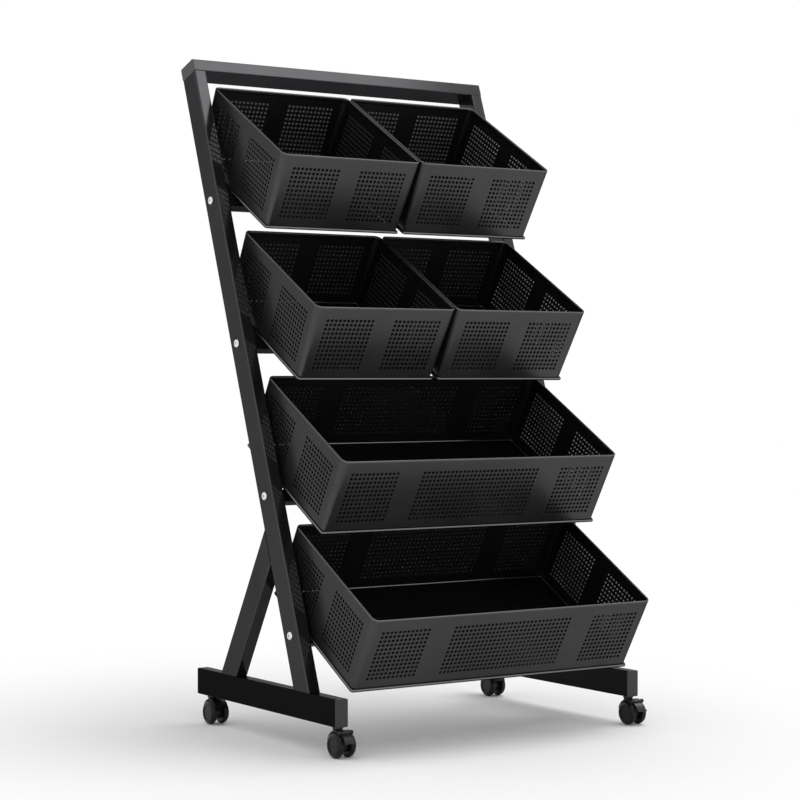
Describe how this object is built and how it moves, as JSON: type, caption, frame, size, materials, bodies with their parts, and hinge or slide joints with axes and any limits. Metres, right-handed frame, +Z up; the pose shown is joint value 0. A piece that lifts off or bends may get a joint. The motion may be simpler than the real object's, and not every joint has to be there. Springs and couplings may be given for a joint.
{
  "type": "tiered basket storage rack",
  "caption": "Leaning tube-frame storage rack with tilted perforated steel baskets on stepped tiers, rolling on twin-wheel swivel casters with front brake levers.",
  "frame": {"origin": "on the floor, under the middle of the rack's overall width and depth", "axes": "+X to the rack's right seen from the front, +Y to the back, +Z up"},
  "size_m": [0.561, 0.5218, 1.0291],
  "materials": {
    "frame_coat": "fine satin black powder coat",
    "basket_coat": "fine satin black powder coat on sheet",
    "bright_screw": "bright zinc",
    "dark_screw": "black oxide",
    "cap_plastic": "fine matt black",
    "wheel_plastic": "smooth black",
    "hood_plastic": "smooth black",
    "lever_plastic": "smooth black",
    "axle_steel": "plain steel",
    "stem_steel": "black zinc"
  },
  "bodies": {
    "frame": {"left_foot": "frame_coat", "right_foot": "frame_coat", "foot_end_caps": "cap_plastic", "left_post": "frame_coat", "right_post": "frame_coat", "left_strut": "frame_coat", "right_strut": "frame_coat", "top_bar": "frame_coat", "top_bar_end_caps": "cap_plastic", "post_top_plugs": "stem_steel", "top_bar_screws": "bright_screw", "rail_end_plates": "frame_coat", "bottom_rail_ear_plates": "frame_coat", "rail_screws": "bright_screw", "basket_brackets": "frame_coat", "bracket_screws": "dark_screw", "top_rail": "frame_coat", "second_rail": "frame_coat", "third_rail": "frame_coat", "bottom_rail": "frame_coat", "top_left_basket_wall": "basket_coat", "top_left_basket_floor": "basket_coat", "top_right_basket_wall": "basket_coat", "top_right_basket_floor": "basket_coat", "second_left_basket_wall": "basket_coat", "second_left_basket_floor": "basket_coat", "second_right_basket_wall": "basket_coat", "second_right_basket_floor": "basket_coat", "third_basket_wall": "basket_coat", "third_basket_floor": "basket_coat", "bottom_basket_wall": "basket_coat", "bottom_basket_floor": "basket_coat", "caster_stems": "stem_steel", "stem_collars": "stem_steel", "stem_nut_blocks": "stem_steel"},
    "front_left_caster": {"front_left_caster_hood": "hood_plastic", "front_left_caster_axle": "axle_steel"},
    "front_left_outer_wheel_body": {"front_left_outer_wheel": "wheel_plastic"},
    "front_left_inner_wheel_body": {"front_left_inner_wheel": "wheel_plastic"},
    "front_left_brake_body": {"front_left_brake_lever": "lever_plastic"},
    "rear_left_caster": {"rear_left_caster_hood": "hood_plastic", "rear_left_caster_axle": "axle_steel"},
    "rear_left_outer_wheel_body": {"rear_left_outer_wheel": "wheel_plastic"},
    "rear_left_inner_wheel_body": {"rear_left_inner_wheel": "wheel_plastic"},
    "front_right_caster": {"front_right_caster_hood": "hood_plastic", "front_right_caster_axle": "axle_steel"},
    "front_right_outer_wheel_body": {"front_right_outer_wheel": "wheel_plastic"},
    "front_right_inner_wheel_body": {"front_right_inner_wheel": "wheel_plastic"},
    "front_right_brake_body": {"front_right_brake_lever": "lever_plastic"},
    "rear_right_caster": {"rear_right_caster_hood": "hood_plastic", "rear_right_caster_axle": "axle_steel"},
    "rear_right_outer_wheel_body": {"rear_right_outer_wheel": "wheel_plastic"},
    "rear_right_inner_wheel_body": {"rear_right_inner_wheel": "wheel_plastic"}
  },
  "joints": [
    {"name": "front_left_swivel", "type": "hinge", "parent": "frame", "child": "front_left_caster", "pos_m": [-0.265, -0.18861, 0.0425], "axis": [0, 0, 1], "continuous": true},
    {"name": "front_left_outer_wheel_spin", "type": "hinge", "parent": "front_left_caster", "child": "front_left_outer_wheel_body", "pos_m": [-0.265, -0.19861, 0.018], "axis": [1, 0, 0], "continuous": true},
    {"name": "front_left_inner_wheel_spin", "type": "hinge", "parent": "front_left_caster", "child": "front_left_inner_wheel_body", "pos_m": [-0.265, -0.19861, 0.018], "axis": [1, 0, 0], "continuous": true},
    {"name": "front_left_brake_press", "type": "hinge", "parent": "front_left_caster", "child": "front_left_brake_body", "pos_m": [-0.265, -0.20941, 0.03671], "axis": [1, 0, 0], "range_deg": [0, 10]},
    {"name": "rear_left_swivel", "type": "hinge", "parent": "frame", "child": "rear_left_caster", "pos_m": [-0.265, 0.17339, 0.0425], "axis": [0, 0, 1], "continuous": true},
    {"name": "rear_left_outer_wheel_spin", "type": "hinge", "parent": "rear_left_caster", "child": "rear_left_outer_wheel_body", "pos_m": [-0.265, 0.16339, 0.018], "axis": [1, 0, 0], "continuous": true},
    {"name": "rear_left_inner_wheel_spin", "type": "hinge", "parent": "rear_left_caster", "child": "rear_left_inner_wheel_body", "pos_m": [-0.265, 0.16339, 0.018], "axis": [1, 0, 0], "continuous": true},
    {"name": "front_right_swivel", "type": "hinge", "parent": "frame", "child": "front_right_caster", "pos_m": [0.265, -0.18861, 0.0425], "axis": [0, 0, 1], "continuous": true},
    {"name": "front_right_outer_wheel_spin", "type": "hinge", "parent": "front_right_caster", "child": "front_right_outer_wheel_body", "pos_m": [0.265, -0.19861, 0.018], "axis": [1, 0, 0], "continuous": true},
    {"name": "front_right_inner_wheel_spin", "type": "hinge", "parent": "front_right_caster", "child": "front_right_inner_wheel_body", "pos_m": [0.265, -0.19861, 0.018], "axis": [1, 0, 0], "continuous": true},
    {"name": "front_right_brake_press", "type": "hinge", "parent": "front_right_caster", "child": "front_right_brake_body", "pos_m": [0.265, -0.20941, 0.03671], "axis": [1, 0, 0], "range_deg": [0, 10]},
    {"name": "rear_right_swivel", "type": "hinge", "parent": "frame", "child": "rear_right_caster", "pos_m": [0.265, 0.17339, 0.0425], "axis": [0, 0, 1], "continuous": true},
    {"name": "rear_right_outer_wheel_spin", "type": "hinge", "parent": "rear_right_caster", "child": "rear_right_outer_wheel_body", "pos_m": [0.265, 0.16339, 0.018], "axis": [1, 0, 0], "continuous": true},
    {"name": "rear_right_inner_wheel_spin", "type": "hinge", "parent": "rear_right_caster", "child": "rear_right_inner_wheel_body", "pos_m": [0.265, 0.16339, 0.018], "axis": [1, 0, 0], "continuous": true}
  ]
}
